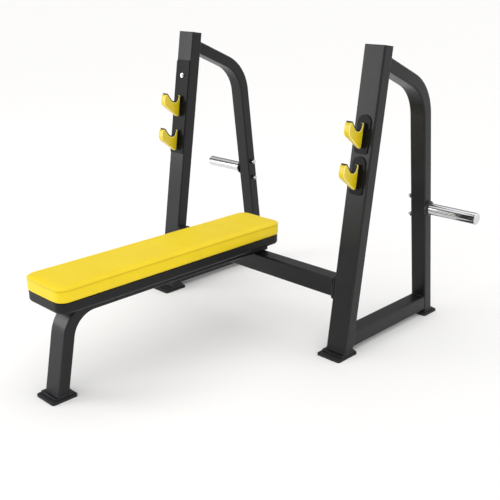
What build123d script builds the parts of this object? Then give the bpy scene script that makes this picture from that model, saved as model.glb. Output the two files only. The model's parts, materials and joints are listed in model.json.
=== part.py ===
from build123d import *
import math
import os

# Bench press rack with a fixed flat bench, in millimetres.
# X runs across the rack, Y along the bench towards the head end, Z up.
# Y is laid out from the foot of the uprights' front faces. The finished pieces are then moved along Y,
# so that the origin is on the floor in the middle of the whole object.

# Rack
RACK_WIDTH = 1156.0            # outside to outside of the uprights
RACK_HEIGHT = 1225.0           # floor to the front edge of the upright's top
UPRIGHT_WIDTH = 97.0           # across the rack
UPRIGHT_DEPTH = 56.0
UPRIGHT_LEAN = 8.0             # degrees back from vertical
UPRIGHT_CAP = 4.0
CAP_BEVEL = 1.2
TUBE_WALL = 3.0
TUBE_CORNER = 7.0              # outer corner radius of every rectangular tube

# Rear leg: strut, bend and leg in one tube
LEG_WIDTH = 73.0
LEG_DEPTH = 52.0
LEG_LEAN = 7.6                 # degrees, the foot stands further back than the bend
LEG_FOOT_REAR = 671.0          # rear face of the leg, taken down to the floor
STRUT_SLOPE = 23.0             # degrees down towards the rear
STRUT_MEETS = 1181.0           # height where the strut's upper face meets the upright
LEG_BEND = 190.0               # centre line radius

# Side rail and cross beam
RAIL_WIDTH = 69.0
RAIL_HEIGHT = 66.0
RAIL_TOP = 88.0
BEAM_DEPTH = 70.0
BEAM_HEIGHT = 80.0
BEAM_TOP = 312.0
FLANGE_THICK = 8.0
FLANGE_ABOVE = 4.0
FLANGE_BELOW = 13.0
FLANGE_CORNER = 9.0
FLANGE_BEVEL = 1.0

# Feet: a rubber pad with rounded corners under the steel plate that the tube is welded to
SOLE_THICK = 10.0
SOLE_CORNER = 10.0
SOLE_EDGE = 1.8
PLATE_THICK = 8.5
PLATE_CORNER = 6.0
PLATE_EDGE = 1.6
FOOT_TOP = SOLE_THICK + PLATE_THICK
# How far each rubber pad reaches past its tube: to each side, to the front and to the rear
UPRIGHT_SOLE_OVERHANG = (9.0, 50.0, 18.0)
REAR_SOLE_OVERHANG = (14.0, 22.0, 24.0)
BENCH_SOLE_OVERHANG = (11.0, 33.0, 28.0)
# The same for the steel plates
UPRIGHT_PLATE_OVERHANG = (4.0, 24.0, 9.0)
REAR_PLATE_OVERHANG = (6.0, 9.0, 10.0)
BENCH_PLATE_OVERHANG = (5.0, 18.0, 12.0)

# Bench tube: main beam and front leg in one tube
BENCH_TUBE_WIDTH = 90.0
BENCH_TUBE_DEPTH = 47.0
BENCH_TUBE_REAR = 112.0
BENCH_LEG_FRONT = -998.0       # front face of the leg, taken down to the floor
BENCH_LEG_LEAN = 11.0
BENCH_BEND = 120.0
PLUG_THICK = 4.0
PLUG_DEPTH = 18.0
PLUG_EDGE = 2.0

# Pad
PAD_WIDTH = 242.0
PAD_FRONT = -1005.0
PAD_REAR = 130.0
PAD_THICK = 60.0
PAD_CORNER = 46.0
PAD_TOP_EDGE = 14.0
PAD_LOW_EDGE = 4.0
SHELL_THICK = 42.0
SHELL_INSET = 5.0
SHELL_LOW_EDGE = 14.0
SHELL_TOP_EDGE = 2.0
BOARD_THICK = 18.0
BOARD_INSET = 16.0
BOARD_CORNER = 30.0
PAD_BOLTS_Y = (-780.0, -430.0, -80.0)
PAD_BOLT = 8.0
PAD_BOLT_HEAD = (14.0, 5.0)    # diameter and height
PAD_WASHER = (20.0, 1.6)
TEE_BARREL = (12.0, 12.0)
TEE_FLANGE = (24.0, 2.0)

# Button head screws: shares of the head's height, and the width of the hexagon socket
SOCKET = 5.0
HEAD_ROUND = 0.6
SOCKET_DEPTH = 0.55

# Bar hooks
HOOK_LIP_WIDTH = 28.0
HOOK_ROOT_WIDTH = 11.0         # at the backing plate
HOOK_REACH = 111.0             # from the upright's face to the front of the lip
HOOK_HEIGHTS = (757.0, 917.0)  # cradle bottoms, measured along the upright
HOOK_EDGE = 2.5
LINER_THICK = 5.0
LINER_INSET = 1.0              # the liner's sides lie this far inside the hook's
LINER_EDGE = 0.8
LINER_START = 0.06             # share of the way from the rear tip down to the cradle's bottom
LINER_END = 0.55               # share of the way across the lip's top
BACKING_THICK = 5.0
BACKING_EDGE = 1.6
BACKING_CORNER = 9.0           # of the tall plate
SHORT_BACKING_ROUND = 0.49     # upper corner radius of the short plates over their width
SHORT_BACKING_CORNER = 12.0    # of the short plates' lower end
BOSS_THICK = 6.0
BOSS_SIZE = (18.0, 76.0)
BOSS_BELOW = 14.0              # the boss's middle below the cradle's bottom
TALL_BACKING = (88.0, 675.0, 1108.0)     # width, lower end and upper end along the upright
SHORT_BACKING = (62.0, -90.0, 60.0)      # width, reach below and above a cradle's bottom
BACKING_BOLT_ALONG = 1038.0
BACKING_BOLT_HEAD = (15.0, 5.0)
BACKING_WASHER = (21.0, 1.8)
LOCK_HOLE = (6.5, 19.0)                  # diameter and distance beside the bolt
HOOK_STANDOFF = BACKING_THICK + BOSS_THICK

# Plate storage pegs
PEG_DIAMETER = 50.0            # plates with a 50 mm hole slide on
PEG_LENGTH = 220.0             # chrome length outside the collar
PEG_HEIGHT = 513.0
PEG_WALL = 3.5
PEG_ROOT = 40.0                # turned-down root inside the collar
COLLAR_STEPS = ((67.0, 8.0), (58.0, 6.0))   # diameter and length of each step
COLLAR_EDGE = 2.0
BOLT_SPACING = 86.0            # the two bolts through the leg above and below the peg
BOLT_SIZE = 10.0
BOLT_SPACER = (21.0, 14.0)     # diameter and length
BOLT_WASHER = (20.0, 2.0)      # diameter and thickness
BOLT_HEAD = (17.0, 5.0)
BOLT_DOME = 5.5                # height of the dome above the hexagon
DOME_SHARE = 0.82              # the dome's diameter over the hexagon's
DOME_ROUND = 0.95              # the dome's edge radius over its height
STUD_SIZE = 20.0
STUD_DEPTH = 35.0
BOLT_REACH = 18.0              # thread length inside the anchor block
PEG_CAP = 6.0
PEG_CAP_DEPTH = 16.0
PEG_CAP_BEVEL = 2.5
ANCHOR_LENGTH = 130.0
ANCHOR_DEPTH = 36.0

SIDES = {"left": -1, "right": 1}
UPRIGHT_CENTRE = RACK_WIDTH / 2 - UPRIGHT_WIDTH / 2
UPRIGHT_LENGTH = RACK_HEIGHT / math.cos(math.radians(UPRIGHT_LEAN))
BENCH_TUBE_TOP = BEAM_TOP + BENCH_TUBE_DEPTH
PAD_BOTTOM = BENCH_TUBE_TOP + SHELL_THICK
PAD_MID = (PAD_FRONT + PAD_REAR) / 2
PAD_LENGTH = PAD_REAR - PAD_FRONT


def direction(degrees):
    """Unit vector in the YZ plane, turned back from vertical by the angle given."""
    angle = math.radians(degrees)
    return Vector(0, math.sin(angle), math.cos(angle))


def tube_section(plane, width, depth, wall=TUBE_WALL):
    """Outer and inner faces of a rounded rectangular tube on the plane."""
    outer = plane * RectangleRounded(width, depth, TUBE_CORNER)
    inner = plane * RectangleRounded(width - 2 * wall, depth - 2 * wall, TUBE_CORNER - wall)
    return outer, inner


def straight_tube(plane, width, depth, length):
    """Hollow tube that runs from the plane along its normal."""
    outer, inner = tube_section(plane, width, depth)
    return extrude(outer, amount=length) - extrude(inner, amount=length)


def bent_tube(path, width, depth):
    """Hollow tube swept along a path that lies in a plane of constant X."""
    plane = Plane(origin=path @ 0, x_dir=(1, 0, 0), z_dir=path % 0)
    outer, inner = tube_section(plane, width, depth)
    return sweep(outer, path=path) - sweep(inner, path=path)


def keep(solid, origin, normal):
    """Part of the solid on the side of a plane that its normal points to."""
    return split(solid, bisect_by=Plane(origin=origin, z_dir=normal), keep=Keep.TOP)


def round_bar(origin, axis, diameter, length):
    """Cylinder that starts at the origin and runs along the axis."""
    return extrude(Plane(origin=origin, z_dir=axis) * Circle(diameter / 2), amount=length)


def upright_point(along, off=0.0, x=0.0):
    """Point on the upright's front face, a distance along it and a distance in front of it."""
    axis = direction(UPRIGHT_LEAN)
    front = Vector(0, -axis.Z, axis.Y)
    return Vector(x, 0, 0) + axis * along + front * off


def front_plane(x, along, off=0.0):
    """Plane on the upright's front face: local X across, local Y up the face, normal to the front."""
    normal = upright_point(0, 1)
    return Plane(origin=upright_point(along, off, x), x_dir=(1, 0, 0), z_dir=normal)


def profile_plane(x, along):
    """Side view plane of a hook: local X out from the upright, local Y up along it, normal to -X."""
    return Plane(origin=upright_point(along, 0, x), x_dir=upright_point(0, 1), z_dir=(-1, 0, 0))


# Rack

def make_upright(x):
    axis = direction(UPRIGHT_LEAN)
    middle = Vector(x, 0, 0) + Vector(0, axis.Z, -axis.Y) * (UPRIGHT_DEPTH / 2)
    start = middle - axis * UPRIGHT_DEPTH
    plane = Plane(origin=start, x_dir=(1, 0, 0), z_dir=axis)
    length = UPRIGHT_LENGTH - UPRIGHT_CAP + UPRIGHT_DEPTH
    tube = straight_tube(plane, UPRIGHT_WIDTH, UPRIGHT_DEPTH, length)
    return keep(tube, (0, 0, FOOT_TOP), (0, 0, 1))


def make_upright_cap(x):
    axis = direction(UPRIGHT_LEAN)
    middle = Vector(x, 0, 0) + Vector(0, axis.Z, -axis.Y) * (UPRIGHT_DEPTH / 2)
    plane = Plane(origin=middle + axis * (UPRIGHT_LENGTH - UPRIGHT_CAP), x_dir=(1, 0, 0), z_dir=axis)
    cap = extrude(plane * RectangleRounded(UPRIGHT_WIDTH, UPRIGHT_DEPTH, TUBE_CORNER), amount=UPRIGHT_CAP)
    return chamfer(cap.faces().sort_by(Axis.Z)[-1].edges(), length=CAP_BEVEL)


def upright_rear(z):
    """Y of the upright's rear face at a height."""
    lean = math.radians(UPRIGHT_LEAN)
    return z * math.tan(lean) + UPRIGHT_DEPTH / math.cos(lean)


def leg_rear(z):
    """Y of the leg's rear face at a height."""
    return LEG_FOOT_REAR - z * math.tan(math.radians(LEG_LEAN))


def leg_path(x):
    """Centre line of the rear leg, from inside the upright to below the floor."""
    slope = math.radians(STRUT_SLOPE)
    half = LEG_DEPTH / 2
    strut_dir = Vector(0, math.cos(slope), -math.sin(slope))
    strut_down = Vector(0, -math.sin(slope), -math.cos(slope))
    meet = Vector(x, upright_rear(STRUT_MEETS), STRUT_MEETS) + strut_down * half
    leg_dir = Vector(0, math.sin(math.radians(LEG_LEAN)), -math.cos(math.radians(LEG_LEAN)))
    leg_front = Vector(0, leg_dir.Z, -leg_dir.Y)
    foot = Vector(x, LEG_FOOT_REAR, 0) + leg_front * half
    gap = foot - meet
    turn = strut_dir.Y * leg_dir.Z - strut_dir.Z * leg_dir.Y
    reach = (gap.Y * leg_dir.Z - gap.Z * leg_dir.Y) / turn
    corner = meet + strut_dir * reach
    return FilletPolyline(
        meet - strut_dir * LEG_DEPTH, corner, foot + leg_dir * LEG_DEPTH, radius=LEG_BEND)


def leg_plane(x, z):
    """Plane across the leg at a height: normal down the leg, origin on its centre line."""
    lean = math.radians(LEG_LEAN)
    y = leg_rear(z) - LEG_DEPTH / 2 / math.cos(lean)
    return Plane(origin=(x, y, z), x_dir=(1, 0, 0), z_dir=(0, math.sin(lean), -math.cos(lean)))


def bolt_centres(x):
    """The two bolt positions on the leg's centre line."""
    plane = leg_plane(x, PEG_HEIGHT)
    return [plane.origin + plane.z_dir * (step * BOLT_SPACING / 2) for step in (-1, 1)]


def make_rear_leg(x, side):
    tube = bent_tube(leg_path(x), LEG_WIDTH, LEG_DEPTH)
    rear_face = (0, upright_rear(0), 0)
    axis = direction(UPRIGHT_LEAN)
    tube = keep(tube, rear_face, (0, axis.Z, -axis.Y))
    tube = keep(tube, (0, 0, FOOT_TOP), (0, 0, 1))
    outward = Vector(side, 0, 0)
    tube -= round_bar(leg_plane(x, PEG_HEIGHT).origin, outward, STUD_SIZE, LEG_WIDTH)
    for centre in bolt_centres(x):
        tube -= round_bar(centre, outward * -1, BOLT_SIZE, LEG_WIDTH)
    return tube


def make_side_rail(x):
    centre = (x, upright_rear(0), RAIL_TOP - RAIL_HEIGHT / 2)
    plane = Plane(origin=centre, x_dir=(1, 0, 0), z_dir=(0, 1, 0))
    rail = straight_tube(plane, RAIL_WIDTH, RAIL_HEIGHT, LEG_FOOT_REAR)
    axis = direction(UPRIGHT_LEAN)
    rail = keep(rail, (0, upright_rear(0), 0), (0, axis.Z, -axis.Y))
    lean = math.radians(LEG_LEAN)
    leg_front = LEG_FOOT_REAR - LEG_DEPTH / math.cos(lean)
    return keep(rail, (0, leg_front, 0), (0, -math.cos(lean), -math.sin(lean)))


def beam_front():
    """Y of the cross beam's front face, level with the uprights at the beam's middle."""
    return (BEAM_TOP - BEAM_HEIGHT / 2) * math.tan(math.radians(UPRIGHT_LEAN))


def make_cross_beam():
    length = RACK_WIDTH - 2 * UPRIGHT_WIDTH - 2 * FLANGE_THICK
    centre = (-length / 2, beam_front() + BEAM_DEPTH / 2, BEAM_TOP - BEAM_HEIGHT / 2)
    plane = Plane(origin=centre, x_dir=(0, 1, 0), z_dir=(1, 0, 0))
    return straight_tube(plane, BEAM_DEPTH, BEAM_HEIGHT, length)


def make_flange(side):
    inner_face = side * (RACK_WIDTH / 2 - UPRIGHT_WIDTH)
    height = BEAM_HEIGHT + FLANGE_ABOVE + FLANGE_BELOW
    middle = BEAM_TOP + FLANGE_ABOVE - height / 2
    along = Plane(origin=(inner_face, beam_front() + BEAM_DEPTH / 2, middle),
                  x_dir=(0, 1, 0), z_dir=(side, 0, 0))
    lean = Rot(0, 0, -side * UPRIGHT_LEAN)
    plate = extrude(along * lean * RectangleRounded(BEAM_DEPTH, height, FLANGE_CORNER),
                    amount=-FLANGE_THICK)
    edges = plate.faces().filter_by(Axis.X).sort_by(Axis.X)[0 if side > 0 else -1].edges()
    return chamfer(edges, length=FLANGE_BEVEL)


# Feet

def foot_outline(x, front, rear, width, overhang, corner):
    """Rounded plan outline that reaches past a tube to each side, to the front and to the rear."""
    across, ahead, behind = overhang
    low = front - ahead
    high = rear + behind
    return Pos(x, (low + high) / 2) * RectangleRounded(width + 2 * across, high - low, corner)


def make_foot(x, front, rear, width, overhang):
    """Steel plate at the foot of a tube."""
    outline = foot_outline(x, front, rear, width, overhang, PLATE_CORNER)
    plate = extrude(Pos(0, 0, SOLE_THICK) * outline, amount=PLATE_THICK)
    return fillet(plate.faces().sort_by(Axis.Z)[-1].edges(), radius=PLATE_EDGE)


def make_sole(x, front, rear, width, overhang):
    """Rubber pad under a foot's steel plate."""
    sole = extrude(foot_outline(x, front, rear, width, overhang, SOLE_CORNER), amount=SOLE_THICK)
    return fillet(sole.faces().sort_by(Axis.Z)[-1].edges(), radius=SOLE_EDGE)


# Bench tube

def make_bench_tube():
    lean = math.radians(BENCH_LEG_LEAN)
    mid_z = BENCH_TUBE_TOP - BENCH_TUBE_DEPTH / 2
    foot_y = BENCH_LEG_FRONT + BENCH_TUBE_DEPTH / 2 / math.cos(lean)
    corner_y = foot_y + mid_z * math.tan(lean)
    below = Vector(0, foot_y - BENCH_TUBE_DEPTH * math.tan(lean), -BENCH_TUBE_DEPTH)
    path = FilletPolyline((0, BENCH_TUBE_REAR, mid_z), (0, corner_y, mid_z), below, radius=BENCH_BEND)
    tube = bent_tube(path, BENCH_TUBE_WIDTH, BENCH_TUBE_DEPTH)
    tube = keep(tube, (0, 0, FOOT_TOP), (0, 0, 1))
    for y in PAD_BOLTS_Y:
        tube -= round_bar((0, y, BEAM_TOP - PAD_BOLT), (0, 0, 1), PAD_BOLT, BENCH_TUBE_TOP)
    return tube


def make_bench_plug():
    centre = (0, BENCH_TUBE_REAR, BENCH_TUBE_TOP - BENCH_TUBE_DEPTH / 2)
    plane = Plane(origin=centre, x_dir=(1, 0, 0), z_dir=(0, 1, 0))
    outer, inner = tube_section(plane, BENCH_TUBE_WIDTH, BENCH_TUBE_DEPTH)
    cap = extrude(outer, amount=PLUG_THICK)
    cap = fillet(cap.faces().sort_by(Axis.Y)[-1].edges(), radius=PLUG_EDGE)
    return cap + extrude(inner, amount=-PLUG_DEPTH)


def button_head(origin, axis, size):
    """Rounded screw head with a hexagon socket."""
    diameter, height = size
    head = round_bar(origin, axis, diameter, height)
    rim = head.edges().sort_by(lambda edge: Vector(*axis).dot(edge.center()))[-1]
    head = fillet(rim, radius=height * HEAD_ROUND)
    top = Vector(*origin) + Vector(*axis) * height
    hexagon = Plane(origin=top, z_dir=axis) * RegularPolygon(SOCKET / 2, 6)
    return head - extrude(hexagon, amount=-height * SOCKET_DEPTH)


# Pad

def plan_outline(width, front, rear, corner):
    return Pos(0, (front + rear) / 2) * RectangleRounded(width, rear - front, corner)


def make_pad():
    """Closed solid of the upholstered pad."""
    outline = Pos(0, 0, PAD_BOTTOM) * plan_outline(PAD_WIDTH, PAD_FRONT, PAD_REAR, PAD_CORNER)
    pad = extrude(outline, amount=PAD_THICK)
    pad = fillet(pad.faces().sort_by(Axis.Z)[-1].edges(), radius=PAD_TOP_EDGE)
    return fillet(pad.faces().sort_by(Axis.Z)[0].edges(), radius=PAD_LOW_EDGE)


def board_pocket():
    outline = plan_outline(PAD_WIDTH - 2 * BOARD_INSET, PAD_FRONT + BOARD_INSET, PAD_REAR - BOARD_INSET,
                           BOARD_CORNER)
    return extrude(Pos(0, 0, PAD_BOTTOM - BOARD_THICK) * outline, amount=BOARD_THICK)


def make_shell():
    """Black moulded base under the pad, with a pocket for the board."""
    inset = SHELL_INSET
    outline = plan_outline(PAD_WIDTH - 2 * inset, PAD_FRONT + inset, PAD_REAR - inset, PAD_CORNER - inset)
    shell = extrude(Pos(0, 0, BENCH_TUBE_TOP) * outline, amount=SHELL_THICK)
    shell = fillet(shell.faces().sort_by(Axis.Z)[0].edges(), radius=SHELL_LOW_EDGE)
    shell = fillet(shell.faces().sort_by(Axis.Z)[-1].edges(), radius=SHELL_TOP_EDGE)
    shell -= board_pocket()
    for y in PAD_BOLTS_Y:
        shell -= round_bar((0, y, BENCH_TUBE_TOP), (0, 0, 1), PAD_BOLT, SHELL_THICK)
    return shell


def make_board():
    board = board_pocket()
    for y in PAD_BOLTS_Y:
        board -= tee_nut_body(y)
        board -= round_bar((0, y, PAD_BOTTOM - BOARD_THICK), (0, 0, 1), PAD_BOLT, BOARD_THICK)
    return board


def tee_nut_body(y):
    """Barrel and flange of a tee nut pressed down into the board's top."""
    barrel_size, barrel_length = TEE_BARREL
    flange_size, flange_thick = TEE_FLANGE
    flange = round_bar((0, y, PAD_BOTTOM), (0, 0, -1), flange_size, flange_thick)
    return flange + round_bar((0, y, PAD_BOTTOM), (0, 0, -1), barrel_size, barrel_length)


def make_tee_nuts():
    bore = [round_bar((0, y, PAD_BOTTOM), (0, 0, -1), PAD_BOLT, BOARD_THICK) for y in PAD_BOLTS_Y]
    return Compound(children=[tee_nut_body(y) - hole for y, hole in zip(PAD_BOLTS_Y, bore)])


def make_pad_bolts():
    """Screws up through the bench tube and the shell into the tee nuts, each on a washer."""
    washer_size, washer_thick = PAD_WASHER
    length = PAD_BOTTOM - BEAM_TOP - TEE_FLANGE[1] + washer_thick
    screws = []
    for y in PAD_BOLTS_Y:
        foot = Vector(0, y, BEAM_TOP - washer_thick)
        screw = round_bar(foot, (0, 0, 1), PAD_BOLT, length)
        screw += round_bar(foot, (0, 0, 1), washer_size, washer_thick)
        screws.append(screw + button_head(foot, (0, 0, -1), PAD_BOLT_HEAD))
    return Compound(children=screws)


# Bar hooks

def hook_outline():
    """Side profile, out from the upright and up from the cradle's bottom: corners and their radii."""
    back = HOOK_STANDOFF
    points = [(back, 28), (back, -75.6), (HOOK_REACH, -17.9), (HOOK_REACH - 2, 29), (95, 29),
              (60, -LINER_THICK), (27, -LINER_THICK), (18, 28)]
    radii = [3.2, 9, 30, 11.5, 4, 40, 20, 3.2]
    return points, radii


def hook_taper(x, along, inset=0.0):
    """Block around a hook's place that is narrow at the backing plate and wide at the lip."""
    root = HOOK_ROOT_WIDTH / 2 - inset
    lip = HOOK_LIP_WIDTH / 2 - inset
    plan = [(-root, HOOK_STANDOFF), (root, HOOK_STANDOFF), (lip, HOOK_REACH), (lip, 2 * HOOK_REACH),
            (-lip, 2 * HOOK_REACH), (-lip, HOOK_REACH)]
    sketch = make_face(Polyline(*plan, close=True))
    top = upright_point(along + HOOK_REACH, 0, x)
    plane = Plane(origin=top, x_dir=(1, 0, 0), z_dir=direction(UPRIGHT_LEAN) * -1)
    return extrude(plane * sketch, amount=2 * HOOK_REACH)


def make_hook(x, along):
    """J hook: a diagonal arm, a lined cradle and a bulging lip, wider towards the lip."""
    points, radii = hook_outline()
    outline = FilletPolyline(*points, radius=radii, close=True)
    plane = profile_plane(x + HOOK_LIP_WIDTH / 2, along)
    hook = extrude(plane * make_face(outline), amount=HOOK_LIP_WIDTH) & hook_taper(x, along)
    return fillet(side_edges(hook), radius=HOOK_EDGE)


def side_edges(piece):
    """Edges around the left and the right side of a piece, where the sides meet its other faces."""
    faces = [face for face in piece.faces() if abs(face.normal_at().X) > 0.9]
    rims = [edge for face in faces for edge in face.edges()]
    shared = [edge for edge in rims if sum(edge.is_same(other) for other in rims) > 1]
    return [edge for edge in rims if not any(edge.is_same(other) for other in shared)]


def between(start, end, share):
    return (start[0] + (end[0] - start[0]) * share, start[1] + (end[1] - start[1]) * share)


def make_liner(x, along):
    """Black liner that follows the cradle from the rear tip to the lip's top."""
    points, radii = hook_outline()
    lip_out, lip_in, floor_front, floor_rear, tip = points[3:]
    start = between(tip, floor_rear, LINER_START)
    end = between(lip_in, lip_out, LINER_END)
    path = FilletPolyline(start, floor_rear, floor_front, lip_in, end, radius=[radii[6], radii[5], radii[4]])
    band = make_face(offset(path, amount=LINER_THICK, side=Side.LEFT, closed=True))
    liner = extrude(profile_plane(x + HOOK_LIP_WIDTH / 2, along) * band, amount=HOOK_LIP_WIDTH)
    liner &= hook_taper(x, along, LINER_INSET)
    return chamfer(side_edges(liner), length=LINER_EDGE)


def boss(x, along):
    """Raised pad between a backing plate and a hook."""
    width, height = BOSS_SIZE
    plane = front_plane(x, along - BOSS_BELOW, BACKING_THICK)
    return extrude(plane * SlotOverall(height, width, rotation=90), amount=BOSS_THICK)


def make_tall_backing(x):
    """Left upright: one plate behind both hooks, with a bolt and a small hole near its top."""
    width, low, high = TALL_BACKING
    plane = front_plane(x, (low + high) / 2)
    plate = extrude(plane * RectangleRounded(width, high - low, BACKING_CORNER), amount=BACKING_THICK)
    plate = round_front_edge(plate)
    for along in HOOK_HEIGHTS:
        plate += boss(x, along)
    bolt_plane = front_plane(x, BACKING_BOLT_ALONG)
    plate -= extrude(bolt_plane * Circle(BOLT_SIZE / 2), amount=BACKING_THICK)
    size, beside = LOCK_HOLE
    return plate - extrude(bolt_plane * Pos(beside, 0) * Circle(size / 2), amount=BACKING_THICK)


def make_short_backing(x, along):
    """Right upright: one plate for each hook, with a round top and small rounded lower corners."""
    width, low, high = SHORT_BACKING
    plane = front_plane(x, along)
    body = Pos(0, (low + high) / 2) * Rectangle(width, high - low)
    corners = body.vertices().group_by(Axis.Y)
    body = fillet(corners[-1], width * SHORT_BACKING_ROUND)
    body = fillet(body.vertices().group_by(Axis.Y)[0], SHORT_BACKING_CORNER)
    plate = round_front_edge(extrude(plane * body, amount=BACKING_THICK))
    return plate + boss(x, along)


def round_front_edge(plate):
    normal = upright_point(0, 1)
    front = plate.faces().sort_by(lambda face: face.center().dot(normal))[-1]
    return fillet(front.edges(), radius=BACKING_EDGE)


def make_backing_bolt(x):
    """Bolt and washer near the top of the tall backing plate."""
    plane = front_plane(x, BACKING_BOLT_ALONG, BACKING_THICK)
    washer_size, washer_thick = BACKING_WASHER
    head_size, head_height = BACKING_BOLT_HEAD
    shank = extrude(plane * Circle(BOLT_SIZE / 2), amount=-BACKING_THICK)
    washer = extrude(plane * Circle(washer_size / 2), amount=washer_thick)
    head_origin = plane.origin + plane.z_dir * washer_thick
    head = button_head(head_origin, plane.z_dir, (head_size, head_height))
    return shank + washer + head


# Plate storage pegs

def peg_origin(x, side):
    """Point where the peg's axis leaves the leg's outer face."""
    return leg_plane(x, PEG_HEIGHT).origin + Vector(side * LEG_WIDTH / 2, 0, 0)


def collar_length():
    return sum(length for _, length in COLLAR_STEPS)


def make_collar(x, side):
    """Stepped ring around the root of the peg, seated on the leg."""
    start = peg_origin(x, side)
    outward = Vector(side, 0, 0)
    ring = None
    for diameter, length in COLLAR_STEPS:
        step = round_bar(start, outward, diameter, length)
        step = fillet(step.edges().sort_by(Axis.X)[-1 if side > 0 else 0], radius=COLLAR_EDGE)
        ring = step if ring is None else ring + step
        start = start + outward * length
    return ring - round_bar(peg_origin(x, side), outward, PEG_ROOT, collar_length())


def make_peg(x, side):
    """Chrome tube with a solid root and the stud that screws into the anchor block."""
    origin = peg_origin(x, side)
    outward = Vector(side, 0, 0)
    shoulder = origin + outward * collar_length()
    length = PEG_LENGTH - PEG_CAP
    peg = round_bar(shoulder, outward, PEG_DIAMETER, length)
    bore = PEG_DIAMETER - 2 * PEG_WALL
    peg -= round_bar(shoulder + outward * PEG_WALL, outward, bore, length)
    peg += round_bar(origin, outward, PEG_ROOT, collar_length())
    return peg + round_bar(origin, outward * -1, STUD_SIZE, TUBE_WALL + STUD_DEPTH)


def make_peg_cap(x, side):
    """End cap with a bevelled rim, pushed into the end of the peg."""
    outward = Vector(side, 0, 0)
    end = peg_origin(x, side) + outward * (collar_length() + PEG_LENGTH - PEG_CAP)
    cap = round_bar(end, outward, PEG_DIAMETER, PEG_CAP)
    rim = cap.edges().sort_by(Axis.X)[-1 if side > 0 else 0]
    cap = chamfer(rim, length=PEG_CAP_BEVEL)
    return cap + round_bar(end, outward * -1, PEG_DIAMETER - 2 * PEG_WALL, PEG_CAP_DEPTH)


def make_anchor(x, side):
    """Steel block inside the leg that takes the peg's stud and both bolts."""
    plane = leg_plane(x, PEG_HEIGHT)
    block = Box(LEG_WIDTH - 2 * TUBE_WALL, ANCHOR_DEPTH, ANCHOR_LENGTH)
    block = plane.location * block
    outward = Vector(side, 0, 0)
    inner = peg_origin(x, side) - outward * (TUBE_WALL + STUD_DEPTH)
    block -= round_bar(inner, outward, STUD_SIZE, LEG_WIDTH)
    for centre in bolt_centres(x):
        face = centre - outward * (LEG_WIDTH / 2)
        block -= round_bar(face, outward, BOLT_SIZE, TUBE_WALL + BOLT_REACH)
    return block


def make_peg_spacers(x, side):
    """Black sleeves under the heads of the two bolts."""
    inward = Vector(-side, 0, 0)
    size, length = BOLT_SPACER
    rings = []
    for centre in bolt_centres(x):
        face = centre + inward * (LEG_WIDTH / 2)
        rings.append(round_bar(face, inward, size, length) - round_bar(face, inward, BOLT_SIZE, length))
    return Compound(children=rings)


def make_peg_bolts(x, side):
    """Two domed bolts with washers and sleeves on the leg's inner face."""
    inward = Vector(-side, 0, 0)
    bolts = []
    for centre in bolt_centres(x):
        sleeve = BOLT_SPACER[1]
        face = centre + inward * (LEG_WIDTH / 2 + sleeve)
        washer_size, washer_thick = BOLT_WASHER
        head_size, head_height = BOLT_HEAD
        bolt = round_bar(face, inward * -1, BOLT_SIZE, sleeve + TUBE_WALL + BOLT_REACH)
        bolt += round_bar(face, inward, washer_size, washer_thick)
        seat = Plane(origin=face + inward * washer_thick, x_dir=(0, 1, 0), z_dir=inward)
        bolt += extrude(seat * RegularPolygon(head_size / 2, 6), amount=head_height)
        dome = round_bar(seat.origin, inward, head_size * DOME_SHARE, head_height + BOLT_DOME)
        dome_edge = dome.edges().sort_by(lambda edge: edge.center().dot(inward))[-1]
        bolts.append(bolt + fillet(dome_edge, radius=BOLT_DOME * DOME_ROUND))
    return Compound(children=bolts)


# Assembly

def tube_seat(lean, front, depth):
    """Front and rear of a leaning tube where it meets the top of its foot."""
    offset_y = FOOT_TOP * math.tan(math.radians(lean))
    return front + offset_y, front + offset_y + depth / math.cos(math.radians(lean))


def feet():
    """Every foot: name, its tube's centre X, front, rear and width, and how far its sole and plate reach."""
    upright = tube_seat(UPRIGHT_LEAN, 0.0, UPRIGHT_DEPTH)
    leg_front = LEG_FOOT_REAR - LEG_DEPTH / math.cos(math.radians(LEG_LEAN))
    leg = tube_seat(-LEG_LEAN, leg_front, LEG_DEPTH)
    bench = tube_seat(BENCH_LEG_LEAN, BENCH_LEG_FRONT, BENCH_TUBE_DEPTH)
    rows = [("bench", (0.0, *bench, BENCH_TUBE_WIDTH), BENCH_SOLE_OVERHANG, BENCH_PLATE_OVERHANG)]
    for name, side in SIDES.items():
        x = side * UPRIGHT_CENTRE
        rows.append((f"upright_{name}", (x, *upright, UPRIGHT_WIDTH), UPRIGHT_SOLE_OVERHANG,
                     UPRIGHT_PLATE_OVERHANG))
        rows.append((f"rear_{name}", (x, *leg, LEG_WIDTH), REAR_SOLE_OVERHANG, REAR_PLATE_OVERHANG))
    return rows


def side_pieces(name, side):
    """Every piece that each side of the rack has."""
    x = side * UPRIGHT_CENTRE
    return {
        f"upright_{name}": make_upright(x),
        f"upright_cap_{name}": make_upright_cap(x),
        f"rear_leg_{name}": make_rear_leg(x, side),
        f"side_rail_{name}": make_side_rail(x),
        f"beam_flange_{name}": make_flange(side),
        f"peg_{name}": make_peg(x, side),
        f"peg_cap_{name}": make_peg_cap(x, side),
        f"peg_collar_{name}": make_collar(x, side),
        f"peg_anchor_{name}": make_anchor(x, side),
        f"peg_spacers_{name}": make_peg_spacers(x, side),
        f"peg_bolts_{name}": make_peg_bolts(x, side),
    }


def hook_pieces():
    pieces = {}
    for name, side in SIDES.items():
        for level, along in zip(("lower", "upper"), HOOK_HEIGHTS):
            x = side * UPRIGHT_CENTRE
            pieces[f"hook_{name}_{level}"] = make_hook(x, along)
            pieces[f"hook_liner_{name}_{level}"] = make_liner(x, along)
            if name == "right":
                pieces[f"backing_{name}_{level}"] = make_short_backing(x, along)
    pieces["backing_left"] = make_tall_backing(-UPRIGHT_CENTRE)
    pieces["backing_bolt_left"] = make_backing_bolt(-UPRIGHT_CENTRE)
    return pieces


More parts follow.
